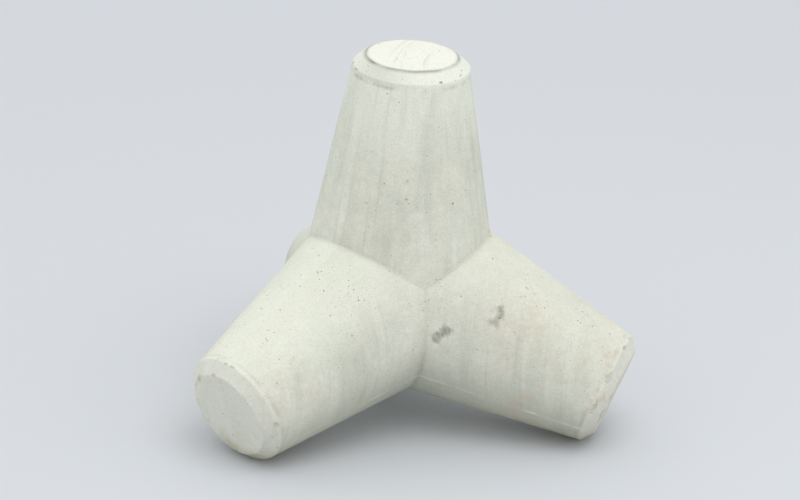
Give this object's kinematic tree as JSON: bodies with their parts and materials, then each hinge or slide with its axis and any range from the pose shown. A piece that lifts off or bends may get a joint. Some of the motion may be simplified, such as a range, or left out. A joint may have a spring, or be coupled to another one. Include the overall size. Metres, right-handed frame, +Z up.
{
  "type": "concrete tetrapod",
  "caption": "Cast concrete armour block with tapered legs that spread evenly from one body, for breakwaters and sea walls.",
  "frame": {"origin": "centre of the body, where the four leg axes cross, which is also the centre of mass", "axes": "+Z up along the upright leg; one standing leg runs back and down along +Y, the two others forward to the left and right; X across, and the block is alike on both sides of X = 0 but for one tie hole"},
  "size_m": [2.1358, 1.9241, 1.7825],
  "materials": {
    "concrete": "matte"
  },
  "bodies": {
    "root": {"tetrapod": "concrete"}
  },
  "joints": []
}
